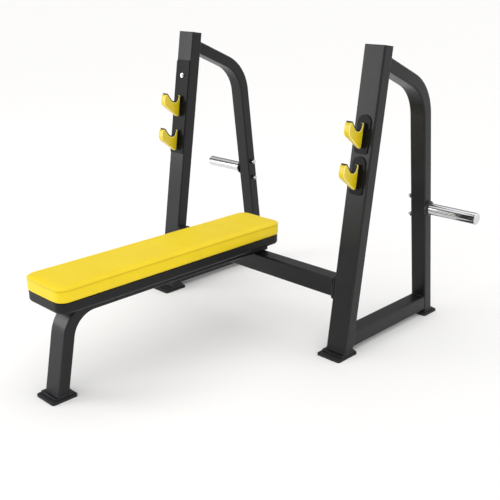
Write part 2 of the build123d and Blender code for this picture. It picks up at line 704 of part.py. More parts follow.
def bench_pieces():
    return {
        "cross_beam": make_cross_beam(),
        "bench_tube": make_bench_tube(),
        "bench_tube_plug": make_bench_plug(),
        "pad_shell": make_shell(),
        "pad_board": make_board(),
        "pad_tee_nuts": make_tee_nuts(),
        "pad_bolts": make_pad_bolts(),
        "bench_pad": make_pad(),
    }


def foot_pieces():
    pieces = {}
    for name, seat, sole_overhang, plate_overhang in feet():
        pieces[f"foot_{name}"] = make_foot(*seat, plate_overhang)
        pieces[f"sole_{name}"] = make_sole(*seat, sole_overhang)
    return pieces


def plan_middle():
    """Y of the middle of the whole object, between the outer edges of the bench foot and the rear feet."""
    fronts = [front - sole[1] for _, (_, front, _, _), sole, _ in feet()]
    rears = [rear + sole[2] for _, (_, _, rear, _), sole, _ in feet()]
    return (min(fronts) + max(rears)) / 2


def main():
    os.makedirs("parts", exist_ok=True)
    pieces = {**bench_pieces(), **foot_pieces(), **hook_pieces()}
    for name, side in SIDES.items():
        pieces.update(side_pieces(name, side))
    centring = Pos(0, -plan_middle(), 0)
    for name, solid in pieces.items():
        export_step(centring * solid, f"parts/{name}.step")


if __name__ == "__main__":
    main()
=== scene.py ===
import json
import math

import bmesh
import bpy
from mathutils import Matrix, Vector
from mathutils.bvhtree import BVHTree


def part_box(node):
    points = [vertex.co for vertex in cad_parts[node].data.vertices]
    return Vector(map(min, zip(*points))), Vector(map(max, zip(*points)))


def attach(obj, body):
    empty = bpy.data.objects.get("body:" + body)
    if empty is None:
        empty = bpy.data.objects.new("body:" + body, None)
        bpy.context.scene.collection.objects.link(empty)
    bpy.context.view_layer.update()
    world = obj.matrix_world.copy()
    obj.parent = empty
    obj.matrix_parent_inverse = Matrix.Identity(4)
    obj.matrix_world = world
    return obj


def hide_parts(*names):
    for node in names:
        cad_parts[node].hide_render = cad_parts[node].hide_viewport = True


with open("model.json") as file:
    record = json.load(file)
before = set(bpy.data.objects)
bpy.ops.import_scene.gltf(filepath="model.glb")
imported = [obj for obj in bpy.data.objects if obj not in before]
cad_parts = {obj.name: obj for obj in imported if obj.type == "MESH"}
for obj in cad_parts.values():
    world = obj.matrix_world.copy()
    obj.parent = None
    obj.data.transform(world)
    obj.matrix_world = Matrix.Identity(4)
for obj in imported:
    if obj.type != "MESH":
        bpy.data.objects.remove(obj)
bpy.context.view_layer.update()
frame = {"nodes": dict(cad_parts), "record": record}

MM = 0.001

# Camera: what it looks at, from how far, and its angle of view
CAMERA_TARGET = Vector((0.068, 0.146, 0.350))
CAMERA_DISTANCE = 3.40
CAMERA_AZIMUTH = 44.1          # degrees round from the object's front towards +X
CAMERA_ELEVATION = 19.1
CAMERA_LENS = 56.8
SENSOR = 36.0
CAMERA_REACH = 300.0

# Pad: it starts a little smaller than its CAD solid, and the cloth simulation swells it
PAD_START_INSET = 2.2 * MM
PAD_START_CORNER = 44.0 * MM
PAD_START_LEVELS = (           # share of the height, and how far the side is pulled in there, in mm
    (0.0, 2.0), (0.06, 0.2), (0.25, 0.0), (0.70, 0.0), (0.85, 0.8), (0.94, 3.2), (1.0, 9.0))
PAD_START_STEP = 12.0 * MM
PAD_START_ARC_STEPS = 10
PAD_TOP_INSET = 0.9            # of PAD_START_INSET
PAD_VOXEL = 5.0 * MM
PAD_HELD_HEIGHT = 4.0 * MM     # the lower edge, which the board holds
PAD_CLOTH = {
    "quality": 5,
    "mass": 0.4,
    "tension_stiffness": 60,
    "compression_stiffness": 60,
    "bending_stiffness": 12.0,
    "use_pressure": True,
    "uniform_pressure_force": 1.6,
}
PAD_MOST_MOVE = 3.0 * MM
PAD_FRAMES = 20
SMOOTH_FACTOR = 0.5
SMOOTH_ROUNDS_BEFORE = 4
SMOOTH_ROUNDS_AFTER = 5

# Seam round the pad: a welt, a darker strip under it that is painted shadow of the welt, and a row of
# stitches
SEAM_BELOW_TOP = 11.0 * MM
STITCHES_BELOW_SEAM = 7.0 * MM
SEAM_CORNER = 46.0 * MM
SEAM_STEP = 3.0 * MM
SEAM_ARC_STEPS = 16
SEAM_RAY_START = 0.05
WELT_RADIUS = 2.2 * MM
WELT_LIFT = WELT_RADIUS * 0.1
# Darker strip just under the welt: painted shadow of the welt
WELT_SHADOW_RADIUS = 1.0 * MM
WELT_SHADOW_LIFT = -WELT_SHADOW_RADIUS * 0.3
WELT_SHADOW_DROP = WELT_RADIUS + WELT_SHADOW_RADIUS * 0.7
STITCH_LENGTH = 4.2 * MM
STITCH_PITCH = 6.0 * MM
STITCH_RADIUS = 0.45 * MM
STITCH_LIFT = STITCH_RADIUS * 0.4
STITCH_BULGE = STITCH_RADIUS * 0.6
STITCH_END_SHARE = 0.6         # of the radius, where the thread goes into the cover

# Welds
WELD_RADIUS = 2.6 * MM
WELD_PITCH = 5.0 * MM
WELD_STEP = 1.25 * MM
WELD_ARC_STEPS = 6
WELD_RIPPLE = 0.16
TUBE_CORNER = 7.0 * MM
FOOT_BAND = 0.3 * MM           # height of the vertices that count as a tube's lower end
NEARLY_ALONG = 0.9

# Edges in the paint
EDGE_SAMPLES = 4
EDGE_TURN = (0.93, 0.995)      # how alike the sharp and the rounded normal are on an edge and off it
# Lighter edges of the powder coat, partly scuffed wear and partly painted highlight on the tube corners:
# radius and brightening
WEAR_AND_HIGHLIGHT_RADIUS = 7.0 * MM
WEAR_AND_HIGHLIGHT_BRIGHTER = 3.2
# Radius of the hooks' painted highlight near their edges
HOOK_HIGHLIGHT_RADIUS = 5.0 * MM

# Powder coats: colour, colour of the lighter clouds, roughness, strength of the orange peel, gloss
COATS = {
    "frame_black": ((0.0074, 0.0077, 0.0087), (0.0096, 0.0100, 0.0115), 0.37, 0.30, 0.235),
    "backing_black": ((0.0032, 0.0033, 0.0038), (0.0045, 0.0046, 0.0053), 0.50, 0.22, 0.07),
    "collar_black": ((0.008, 0.008, 0.009), (0.011, 0.011, 0.012), 0.34, 0.2, 0.4),
}

# Moulded rubber and plastic: colour, colour of the clouds, roughness, scale and depth of the grain, gloss
MOULDINGS = {
    "liner_rubber": ((0.010, 0.010, 0.011), (0.015, 0.015, 0.016), 0.62, 900.0, 0.20 * MM, 0.3),
    "sole_rubber": ((0.013, 0.013, 0.014), (0.020, 0.020, 0.021), 0.75, 700.0, 0.30 * MM, 0.3),
    "shell_black": ((0.0085, 0.0085, 0.009), (0.012, 0.012, 0.0128), 0.42, 800.0, 0.15 * MM, 0.2),
    "plug_black": ((0.018, 0.018, 0.019), (0.024, 0.024, 0.025), 0.5, 900.0, 0.15 * MM, 0.3),
}

# Plated and plain steel: colour, roughness, scale of the turning rings
METALS = {
    "chrome": ((0.72, 0.725, 0.74), 0.085, 900.0),
    "bolt_steel": ((0.72, 0.725, 0.74), 0.18, 1400.0),
    "anchor_steel": ((0.42, 0.42, 0.43), 0.35, 700.0),
}

# Threads: dark and light colour
THREADS = {
    "thread": ((0.70, 0.48, 0.008), (0.86, 0.62, 0.02)),
    # Darker yellow for the strip under the welt, painted shadow of the welt
    "groove": ((0.56, 0.39, 0.005), (0.64, 0.45, 0.007)),
}

VINYL_COLOURS = ((0.85, 0.625, 0.003), (0.89, 0.665, 0.005))
HOOK_COLOURS = ((0.70, 0.52, 0.001), (0.75, 0.56, 0.002))
# Painted highlight on the hooks: paler yellow near the edges, and palest on the roundings of the sides
HOOK_HIGHLIGHT_NEAR_EDGE = (0.95, 0.80, 0.10)
HOOK_HIGHLIGHT_ON_ROUNDING = (0.99, 0.90, 0.30)
WOOD_COLOURS = ((0.50, 0.34, 0.18), (0.66, 0.49, 0.29))
FLOOR_COLOURS = ((0.945, 0.938, 0.928), (0.955, 0.948, 0.938))
FLOOR_HALF_SIZE = 90.0

# Studio light: the sky's grey against the sine of the height, which has a bright strip on the -X side
SKY = ((0.02, 0.50), (0.45, 1.0))
SIDE_SKY = ((0.02, 0.16), (0.13, 0.16), (0.16, 1.15), (0.24, 1.15), (0.28, 0.12), (0.60, 0.16), (0.78, 1.0))
SIDE_FROM = -0.15              # X of the direction where the side sky begins, and where it is complete
SIDE_FULL = -0.45
SKY_STRENGTH = 1.25
BACKDROP = (0.79, 0.79, 0.785, 1.0)      # what shows above the floor's horizon
KEY_LIGHT = ((-3.4, -3.6, 1.55), (-0.1, 0.2, 0.75), (2.4, 2.2), 90.0)     # place, aim, size, watts


# ---------------------------------------------------------------- shader helpers

def new_material(name):
    """Material with one Principled shader, and the graph that its nodes are added to."""
    material = bpy.data.materials.new(name)
    material.use_nodes = True
    nodes = material.node_tree.nodes
    nodes.clear()
    output = nodes.new("ShaderNodeOutputMaterial")
    shader = nodes.new("ShaderNodeBsdfPrincipled")
    material.node_tree.links.new(shader.outputs["BSDF"], output.inputs["Surface"])
    return material, shader, Graph(material)


class Graph:
    """Small helper that adds and links nodes in one material."""

    def __init__(self, material):
        self.tree = material.node_tree
        self.coords = self.add("ShaderNodeTexCoord").outputs["Object"]

    def add(self, kind, **settings):
        node = self.tree.nodes.new(kind)
        for key, value in settings.items():
            setattr(node, key, value)
        return node

    def link(self, source, target):
        self.tree.links.new(source, target)

    def noise(self, scale, detail=3.0, vector=None):
        node = self.add("ShaderNodeTexNoise")
        node.inputs["Scale"].default_value = scale
        node.inputs["Detail"].default_value = detail
        self.link(vector or self.coords, node.inputs["Vector"])
        return node.outputs["Fac"]

    def cells(self, scale, feature):
        node = self.add("ShaderNodeTexVoronoi", feature=feature)
        node.inputs["Scale"].default_value = scale
        self.link(self.coords, node.inputs["Vector"])
        return node.outputs["Distance"]

    def stretched(self, scale):
        node = self.add("ShaderNodeMapping")
        node.inputs["Scale"].default_value = scale
        self.link(self.coords, node.inputs["Vector"])
        return node.outputs["Vector"]

    def spread(self, source, low, high, from_low=0.0, from_high=1.0):
        node = self.add("ShaderNodeMapRange")
        node.inputs["From Min"].default_value = from_low
        node.inputs["From Max"].default_value = from_high
        node.inputs["To Min"].default_value = low
        node.inputs["To Max"].default_value = high
        self.link(source, node.inputs["Value"])
        return node.outputs["Result"]

    def product(self, first, second):
        node = self.add("ShaderNodeMath", operation="MULTIPLY")
        self.link(first, node.inputs[0])
        self.link(second, node.inputs[1])
        return node.outputs["Value"]

    def blend_colours(self, factor, first, second):
        """Blends between two fixed colours."""
        node = self.add("ShaderNodeMix", data_type="RGBA")
        node.inputs["A"].default_value = (*first, 1.0)
        node.inputs["B"].default_value = (*second, 1.0)
        self.link(factor, node.inputs["Factor"])
        return node.outputs["Result"]

    def mix_colours(self, factor, source, colour):
        """Blends a linked colour towards a fixed one."""
        node = self.add("ShaderNodeMix", data_type="RGBA")
        node.inputs["B"].default_value = (*colour, 1.0)
        self.link(source, node.inputs["A"])
        self.link(factor, node.inputs["Factor"])
        return node.outputs["Result"]

    def surface_normal(self):
        return self.add("ShaderNodeNewGeometry").outputs["Normal"]

    def edges(self, radius):
        """0 on flat faces, 1 along edges and corners."""
        bevel = self.add("ShaderNodeBevel", samples=EDGE_SAMPLES)
        bevel.inputs["Radius"].default_value = radius
        turn = self.add("ShaderNodeVectorMath", operation="DOT_PRODUCT")
        self.link(bevel.outputs["Normal"], turn.inputs[0])
        self.link(self.surface_normal(), turn.inputs[1])
        on_edge, off_edge = EDGE_TURN
        return self.spread(turn.outputs["Value"], 1.0, 0.0, from_low=on_edge, from_high=off_edge)

    def rounding(self):
        """1 on the rounding between a side that faces along X and the faces across it, 0 on both; the
        hooks' painted highlight goes there.
        """
        part = self.add("ShaderNodeSeparateXYZ")
        self.link(self.surface_normal(), part.inputs[0])
        sideways = self.add("ShaderNodeMath", operation="ABSOLUTE")
        self.link(part.outputs["X"], sideways.inputs[0])
        off_faces_across = self.spread(sideways.outputs["Value"], 0.0, 1.0, from_low=0.10, from_high=0.35)
        off_side = self.spread(sideways.outputs["Value"], 1.0, 0.0, from_low=0.95, from_high=0.99)
        return self.product(off_faces_across, off_side)

    def edge_wear_and_highlight(self):
        """Mask of the lighter edges, partly wear and partly painted highlight: 0 on flat faces, up to 1 in
        broken patches along edges and corners.
        """
        patches = self.noise(scale=60.0, detail=4.0)
        patches = self.spread(patches, 0.35, 1.0, from_low=0.38, from_high=0.64)
        return self.product(self.edges(WEAR_AND_HIGHLIGHT_RADIUS), patches)

    def bump(self, height, distance, strength, under=None):
        node = self.add("ShaderNodeBump")
        node.inputs["Strength"].default_value = strength
        node.inputs["Distance"].default_value = distance
        self.link(height, node.inputs["Height"])
        if under is not None:
            self.link(under, node.inputs["Normal"])
        return node.outputs["Normal"]


# ---------------------------------------------------------------- materials

def powder_coat(name, colour, lift, roughness, peel, gloss):
    """Satin powder coat: fine orange peel, faint clouding, and a lighter edge that is partly scuffed wear
    and partly painted highlight.
    """
    material, shader, graph = new_material(name)
    cloud = graph.spread(graph.noise(scale=7.0, detail=4.0), 0.0, 1.0, from_low=0.35, from_high=0.65)
    paint = graph.blend_colours(cloud, colour, lift)
    # Lighter edge colour: partly scuffed wear, partly painted highlight on the tube corners
    wear_and_highlight_colour = tuple(value * WEAR_AND_HIGHLIGHT_BRIGHTER for value in lift)
    graph.link(graph.mix_colours(graph.edge_wear_and_highlight(), paint, wear_and_highlight_colour), shader.inputs["Base Color"])
    speck = graph.noise(scale=140.0, detail=2.0)
    speck = graph.spread(speck, roughness - 0.05, roughness + 0.06, from_low=0.3, from_high=0.7)
    graph.link(speck, shader.inputs["Roughness"])
    normal = graph.bump(graph.noise(scale=1100.0, detail=2.0), distance=0.12 * MM, strength=peel)
    waves = graph.noise(scale=260.0, detail=1.0)
    normal = graph.bump(waves, distance=0.2 * MM, strength=peel * 0.5, under=normal)
    graph.link(normal, shader.inputs["Normal"])
    shader.inputs["Specular IOR Level"].default_value = gloss
    shader.inputs["Coat Weight"].default_value = 0.10
    shader.inputs["Coat Roughness"].default_value = 0.14
    return material


def moulded(name, colour, lift, roughness, grain_scale, grain_depth, gloss):
    """Moulded plastic or rubber with a pebbled grain."""
    material, shader, graph = new_material(name)
    cloud = graph.noise(scale=12.0, detail=3.0)
    graph.link(graph.blend_colours(cloud, colour, lift), shader.inputs["Base Color"])
    speck = graph.noise(scale=90.0, detail=2.0)
    graph.link(graph.spread(speck, roughness - 0.06, roughness + 0.06), shader.inputs["Roughness"])
    pebbles = graph.cells(grain_scale, feature="SMOOTH_F1")
    normal = graph.bump(pebbles, distance=grain_depth, strength=0.6)
    fine = graph.noise(scale=grain_scale * 2.3, detail=2.0)
    normal = graph.bump(fine, distance=grain_depth * 0.5, strength=0.5, under=normal)
    graph.link(normal, shader.inputs["Normal"])
    shader.inputs["Specular IOR Level"].default_value = gloss
    return material


def vinyl(name):
    """Yellow upholstery vinyl with a fine leather grain and a soft gloss."""
    material, shader, graph = new_material(name)
    cloud = graph.spread(graph.noise(scale=9.0, detail=4.0), 0.0, 1.0, from_low=0.3, from_high=0.7)
    graph.link(graph.blend_colours(cloud, *VINYL_COLOURS), shader.inputs["Base Color"])
    speck = graph.noise(scale=300.0, detail=2.0)
    graph.link(graph.spread(speck, 0.40, 0.52, from_low=0.3, from_high=0.7), shader.inputs["Roughness"])
    creases = graph.cells(scale=620.0, feature="DISTANCE_TO_EDGE")
    creases = graph.spread(creases, 0.0, 1.0, from_low=0.0, from_high=0.12)
    normal = graph.bump(creases, distance=0.16 * MM, strength=0.55)
    warp = graph.noise(scale=420.0, detail=2.0)
    normal = graph.bump(warp, distance=0.2 * MM, strength=0.35, under=normal)
    graph.link(normal, shader.inputs["Normal"])
    shader.inputs["Specular IOR Level"].default_value = 0.35
    shader.inputs["Coat Weight"].default_value = 0.05
    shader.inputs["Coat Roughness"].default_value = 0.30
    return material


def hook_coating(name):
    """Smooth moulded yellow coating on the hooks, with a painted highlight near the edges and on the
    roundings, and flow marks.
    """
    material, shader, graph = new_material(name)
    coat = graph.blend_colours(graph.noise(scale=25.0, detail=3.0), *HOOK_COLOURS)
    # Painted highlight: paler yellow near the edges and on the roundings
    coat = graph.mix_colours(graph.spread(graph.edges(HOOK_HIGHLIGHT_RADIUS), 0.0, 0.5), coat, HOOK_HIGHLIGHT_NEAR_EDGE)
    graph.link(graph.mix_colours(graph.rounding(), coat, HOOK_HIGHLIGHT_ON_ROUNDING), shader.inputs["Base Color"])
    speck = graph.noise(scale=180.0, detail=2.0)
    graph.link(graph.spread(speck, 0.30, 0.42), shader.inputs["Roughness"])
    normal = graph.bump(graph.noise(scale=700.0, detail=2.0), distance=0.1 * MM, strength=0.4)
    flow = graph.noise(scale=60.0, detail=1.0)
    normal = graph.bump(flow, distance=0.4 * MM, strength=0.3, under=normal)
    graph.link(normal, shader.inputs["Normal"])
    shader.inputs["Coat Weight"].default_value = 0.25
    shader.inputs["Coat Roughness"].default_value = 0.2
    return material


def plated(name, colour, roughness, ring_scale):
    """Chrome or zinc plate with fine turning rings round the X axis and light handling marks."""
    material, shader, graph = new_material(name)
    shader.inputs["Metallic"].default_value = 1.0
    cloud = graph.spread(graph.noise(scale=18.0, detail=4.0), 0.0, 1.0, from_low=0.35, from_high=0.7)
    dull = tuple(value * 0.88 for value in colour)
    graph.link(graph.blend_colours(cloud, colour, dull), shader.inputs["Base Color"])
    streaks = graph.noise(ring_scale, detail=3.0, vector=graph.stretched((1.0, 0.02, 0.02)))
    shine = graph.spread(streaks, roughness * 0.7, roughness * 1.5, from_low=0.3, from_high=0.7)
    graph.link(shine, shader.inputs["Roughness"])
    normal = graph.bump(streaks, distance=0.04 * MM, strength=0.5)
    scratches = graph.noise(scale=240.0, detail=2.0, vector=graph.stretched((0.15, 1.0, 1.0)))
    normal = graph.bump(scratches, distance=0.03 * MM, strength=0.3, under=normal)
    graph.link(normal, shader.inputs["Normal"])
    return material


def plywood(name):
    """Plywood with its grain along the pad."""
    material, shader, graph = new_material(name)
    grain = graph.noise(scale=60.0, detail=5.0, vector=graph.stretched((1.0, 0.06, 1.0)))
    graph.link(graph.blend_colours(grain, *WOOD_COLOURS), shader.inputs["Base Color"])
    graph.link(graph.spread(grain, 0.55, 0.75), shader.inputs["Roughness"])
    graph.link(graph.bump(grain, distance=0.3 * MM, strength=0.5), shader.inputs["Normal"])
    return material


def thread(name, dark, light):
    """Twisted yellow thread or cord."""
    material, shader, graph = new_material(name)
    twist = graph.noise(scale=2500.0, detail=1.0)
    graph.link(graph.blend_colours(twist, dark, light), shader.inputs["Base Color"])
    graph.link(graph.spread(twist, 0.55, 0.75), shader.inputs["Roughness"])
    graph.link(graph.bump(twist, distance=0.1 * MM, strength=0.6), shader.inputs["Normal"])
    return material


def floor_paper(name):
    """Pale seamless studio floor."""
    material, shader, graph = new_material(name)
    cloud = graph.noise(scale=0.8, detail=3.0)
    graph.link(graph.blend_colours(cloud, *FLOOR_COLOURS), shader.inputs["Base Color"])
    shader.inputs["Roughness"].default_value = 0.85
    shader.inputs["Specular IOR Level"].default_value = 0.1
    return material


def make_materials():
    made = {}
    for kind, table in ((powder_coat, COATS), (moulded, MOULDINGS), (plated, METALS), (thread, THREADS)):
        for name, values in table.items():
            made[name] = kind(name, *values)
    made["hook_yellow"] = hook_coating("hook_yellow")
    made["pad_vinyl"] = vinyl("pad_vinyl")
    made["board_wood"] = plywood("board_wood")
    return made


def dress_cad(materials):
    """Every CAD node gets the material of its slot in the record."""
    for entry in frame["record"]["subparts"]:
        node = frame["nodes"][entry["node"]]
        node.data.materials.clear()
        node.data.materials.append(materials[entry["material_slot"]])


# ---------------------------------------------------------------- mesh helpers

def add_object(name, mesh_data, material):
    piece = bpy.data.objects.new(name, mesh_data)
    bpy.context.scene.collection.objects.link(piece)
    mesh_data.materials.append(material)
    return piece


def to_data(mesh, name):
    data = bpy.data.meshes.new(name)
    mesh.to_mesh(data)
    mesh.free()
    return data


def shade_smooth(mesh_data):
    mesh_data.polygons.foreach_set("use_smooth", [True] * len(mesh_data.polygons))


def rounded_outline(half_x, half_y, radius, arc_steps, edge_step):
    """Closed plan outline of a rounded rectangle, with points along its straight sides too."""
    points = []
    corners = ((1, 1, 0), (-1, 1, 90), (-1, -1, 180), (1, -1, 270))
    for sign_x, sign_y, start in corners:
        for step in range(arc_steps + 1):
            angle = math.radians(start + 90 * step / arc_steps)
            points.append(Vector((sign_x * (half_x - radius) + radius * math.cos(angle),
                                  sign_y * (half_y - radius) + radius * math.sin(angle))))
    filled = []
    for here, there in zip(points, points[1:] + points[:1]):
        count = max(1, round((there - here).length / edge_step))
        filled += [here.lerp(there, step / count) for step in range(count)]
    return filled


def resample(line, count):
    """The same closed line with evenly spaced points."""
    lengths = [0.0]
    closed = line + [line[0]]
    for here, there in zip(closed, closed[1:]):
        lengths.append(lengths[-1] + (there - here).length)
    points = []
    index = 0
    for step in range(count):
        target = lengths[-1] * step / count
        while lengths[index + 1] < target:
            index += 1
        share = (target - lengths[index]) / max(lengths[index + 1] - lengths[index], 1e-9)
        points.append(closed[index].lerp(closed[index + 1], share))
    return points


def join_rings(mesh, first, second):
    """Band of faces between two rings that have the same number of vertices."""
    for i in range(len(first)):
        after = (i + 1) % len(first)
        mesh.faces.new((first[i], first[after], second[after], second[i]))


def close_ends(mesh, rings):
    mesh.faces.new(list(reversed(rings[0])))
    mesh.faces.new(rings[-1])


def loft(outlines, name):
    """Closed mesh through a stack of outlines that have the same number of points."""
    mesh = bmesh.new()
    rings = [[mesh.verts.new(point) for point in outline] for outline in outlines]
    for lower, upper in zip(rings, rings[1:]):
        join_rings(mesh, lower, upper)
    close_ends(mesh, rings)
    return to_data(mesh, name)


def way_along(points, i, closed):
    """Direction of a line at one of its points."""
    count = len(points)
    ahead = points[(i + 1) % count] if closed or i + 1 < count else points[i]
    behind = points[i - 1] if closed or i > 0 else points[i]
    return (ahead - behind).normalized()


def ring_around(mesh, centre, across, up, radius, sides):
    ring = []
    for side in range(sides):
        angle = 2 * math.pi * side / sides
        offset = across * math.cos(angle) + up * math.sin(angle)
        ring.append(mesh.verts.new(centre + offset * radius))
    return ring


def tube_along(mesh, points, radius_at, sides=8, closed=False, normals=None):
    """Adds a round tube to the mesh, along the points, with a radius for each of them."""
    rings = []
    up = Vector((0.0, 0.0, 1.0))
    for i, point in enumerate(points):
        way = way_along(points, i, closed)
        if normals is not None:
            up = normals[i]
        elif abs(way.dot(up)) > NEARLY_ALONG:
            up = Vector((1.0, 0.0, 0.0))
        across = way.cross(up).normalized()
        up = across.cross(way).normalized()
        rings.append(ring_around(mesh, point, across, up, radius_at(i), sides))
    for first, second in zip(rings, rings[1:]):
        join_rings(mesh, first, second)
    if closed:
        join_rings(mesh, rings[-1], rings[0])
    else:
        close_ends(mesh, rings)


def finish_piece(mesh, name, material):
    """Turns the mesh into a piece that rides the part's only body."""
    bmesh.ops.recalc_face_normals(mesh, faces=mesh.faces)
    data = to_data(mesh, name)
    shade_smooth(data)
    piece = add_object(name, data, material)
    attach(piece, "root")


# ---------------------------------------------------------------- pad

def pad_start_mesh(low, high):
    """Pad a little smaller than its CAD solid, with a rounded upper edge."""
    centre = (low + high) / 2
    half = (high - low) / 2
    top = high.z - PAD_START_INSET * PAD_TOP_INSET
    outlines = []
    for share, pulled in PAD_START_LEVELS:
        z = low.z + (top - low.z) * share
        shrink = PAD_START_INSET + pulled * MM
        outline = rounded_outline(half.x - shrink, half.y - shrink, PAD_START_CORNER - shrink,
                                  PAD_START_ARC_STEPS, PAD_START_STEP)
        outlines.append([Vector((centre.x + p.x, centre.y + p.y, z)) for p in outline])
    count = min(len(outline) for outline in outlines)
    return loft([resample(outline, count) for outline in outlines], "pad")


def apply_modifiers(piece):
    bpy.context.view_layer.objects.active = piece
    for modifier in list(piece.modifiers):
        bpy.ops.object.modifier_apply(modifier=modifier.name)


def add_smoothing(piece, rounds):
    smooth = piece.modifiers.new("smooth", "SMOOTH")
    smooth.iterations = rounds
    smooth.factor = SMOOTH_FACTOR


def swell(piece, floor_z):
    """Cloth simulation with inside pressure; the lower edge stays where the board holds it."""
    start = [vertex.co.copy() for vertex in piece.data.vertices]
    held = piece.vertex_groups.new(name="held")
    held.add([i for i, co in enumerate(start) if co.z < floor_z + PAD_HELD_HEIGHT], 1.0, "REPLACE")
    cloth = piece.modifiers.new("cloth", "CLOTH")
    for key, value in PAD_CLOTH.items():
        setattr(cloth.settings, key, value)
    cloth.settings.effector_weights.gravity = 0.0
    cloth.settings.vertex_group_mass = "held"
    cloth.point_cache.frame_start = 1
    cloth.point_cache.frame_end = PAD_FRAMES
    for number in range(1, PAD_FRAMES + 1):
        bpy.context.scene.frame_set(number)
    apply_modifiers(piece)
    bpy.context.scene.frame_set(1)
    for vertex, before in zip(piece.data.vertices, start):
        moved = vertex.co - before
        if moved.length > PAD_MOST_MOVE:
            vertex.co = before + moved.normalized() * PAD_MOST_MOVE


def flatten_underside(data, floor_z):
    """The underside lies flat on the shell."""
    for vertex in data.vertices:
        vertex.co.z = max(vertex.co.z, floor_z)


def make_pad(materials):
    """Upholstered cover in place of the CAD pad."""
    low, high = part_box("bench_pad")
    piece = add_object("pad_cover", pad_start_mesh(low, high), materials["pad_vinyl"])
    remesh = piece.modifiers.new("remesh", "REMESH")
    remesh.mode = "VOXEL"
    remesh.voxel_size = PAD_VOXEL
    add_smoothing(piece, SMOOTH_ROUNDS_BEFORE)
    apply_modifiers(piece)
    swell(piece, low.z)
    add_smoothing(piece, SMOOTH_ROUNDS_AFTER)
    subdivide = piece.modifiers.new("subdivide", "SUBSURF")
    subdivide.levels = 1
    subdivide.render_levels = 1
    apply_modifiers(piece)
    shade_smooth(piece.data)
    flatten_underside(piece.data, low.z)
    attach(piece, "root")
    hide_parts("bench_pad")
    return piece


def side_line(tree, low, high, z, lift):
    """Points all round the pad's side at a height, with the way out of the surface at each."""
    centre = (low + high) / 2
    half = (high - low) / 2
    flat_x = half.x - SEAM_CORNER
    flat_y = half.y - SEAM_CORNER
    points = []
    outs = []
    for p in rounded_outline(half.x, half.y, SEAM_CORNER, SEAM_ARC_STEPS, SEAM_STEP):
        outside = Vector((centre.x + p.x, centre.y + p.y, z))
        inner = Vector((max(-flat_x, min(flat_x, p.x)), max(-flat_y, min(flat_y, p.y)), 0.0))
        way = (Vector((p.x, p.y, 0.0)) - inner).normalized()
        hit, normal, _, _ = tree.ray_cast(outside + way * SEAM_RAY_START, -way)
        if hit is None:
            continue
        points.append(hit + normal * lift)
        outs.append(normal)
    return points, outs


def stitches(points, outs):
    """Start, end and outward way of each stitch along a closed line."""
    length = sum((there - here).length for here, there in zip(points, points[1:] + points[:1]))
    count = round(length / STITCH_PITCH)
    line = resample(points, count * 2)
    ways = resample(outs, count * 2)
    rows = []
    for i in range(0, 2 * count, 2):
        step = (line[i + 1] - line[i]).normalized() * STITCH_LENGTH / 2
        centre = (line[i] + line[i + 1]) / 2
        rows.append((centre - step, centre + step, ways[i].normalized()))
    return rows


def make_cord(name, line, radius, material):
    """Round cord along a closed line on the pad's side."""
    points, outs = line
    mesh = bmesh.new()
    tube_along(mesh, points, lambda i: radius, closed=True, normals=outs)
    finish_piece(mesh, name, material)


def make_stitches(line, material):
    radii = (STITCH_RADIUS * STITCH_END_SHARE, STITCH_RADIUS, STITCH_RADIUS * STITCH_END_SHARE)
    mesh = bmesh.new()
    for start, end, out in stitches(*line):
        middle = (start + end) / 2 + out * STITCH_BULGE
        tube_along(mesh, [start, middle, end], lambda i: radii[i], sides=6)
    finish_piece(mesh, "pad_stitches", material)


def make_pad_seam(pad, materials):
    """Welt round the pad below its top edge, with a strip of painted shadow and a row of stitches under it.
    """
    low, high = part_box("bench_pad")
    data = pad.data
    tree = BVHTree.FromPolygons([v.co for v in data.vertices], [p.vertices for p in data.polygons])
    z = high.z - SEAM_BELOW_TOP
    welt = side_line(tree, low, high, z, WELT_LIFT)
    groove = side_line(tree, low, high, z - WELT_SHADOW_DROP, WELT_SHADOW_LIFT)
    row = side_line(tree, low, high, z - STITCHES_BELOW_SEAM, STITCH_LIFT)
    make_cord("pad_welt", welt, WELT_RADIUS, materials["pad_vinyl"])
    # Darker cord under the welt: painted shadow of the welt
    make_cord("pad_welt_shadow", groove, WELT_SHADOW_RADIUS, materials["groove"])
    make_stitches(row, materials["thread"])


# ---------------------------------------------------------------- welds

def world_mesh(node):
    """Vertices and polygons of a CAD node in the shared frame."""
    source = frame["nodes"][node]
    return ([source.matrix_world @ vertex.co for vertex in source.data.vertices],
            [polygon.vertices for polygon in source.data.polygons])


def weld_bead(mesh, points):
    """Rippled bead along a closed line."""
    ripples = 2 * math.pi * WELD_STEP / WELD_PITCH
    tube_along(mesh, points, lambda i: WELD_RADIUS * (1 + WELD_RIPPLE * math.cos(i * ripples)), closed=True)


def weld_foot(mesh, node):
    """Bead where a tube stands on its foot."""
    corners, _ = world_mesh(node)
    bottom = min(corner.z for corner in corners)
    ring = [corner for corner in corners if corner.z < bottom + FOOT_BAND]
    low = Vector((min(c.x for c in ring), min(c.y for c in ring)))
    high = Vector((max(c.x for c in ring), max(c.y for c in ring)))
    centre = (low + high) / 2
    half = (high - low) / 2
    outline = rounded_outline(half.x, half.y, TUBE_CORNER, WELD_ARC_STEPS, WELD_STEP)
    weld_bead(mesh, [Vector((centre.x + p.x, centre.y + p.y, bottom)) for p in outline])


def weld_end(mesh, node, target, way):
    """Bead where a level tube along Y ends on the face of another tube."""
    low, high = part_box(node)
    centre = (low + high) / 2
    half = (high - low) / 2
    tree = BVHTree.FromPolygons(*world_mesh(target))
    points = []
    for p in rounded_outline(half.x, half.z, TUBE_CORNER, WELD_ARC_STEPS, WELD_STEP):
        start = Vector((centre.x + p.x, centre.y, centre.z + p.y))
        hit = tree.ray_cast(start, Vector((0.0, way, 0.0)))[0]
        if hit is not None:
            points.append(hit)
    weld_bead(mesh, points)


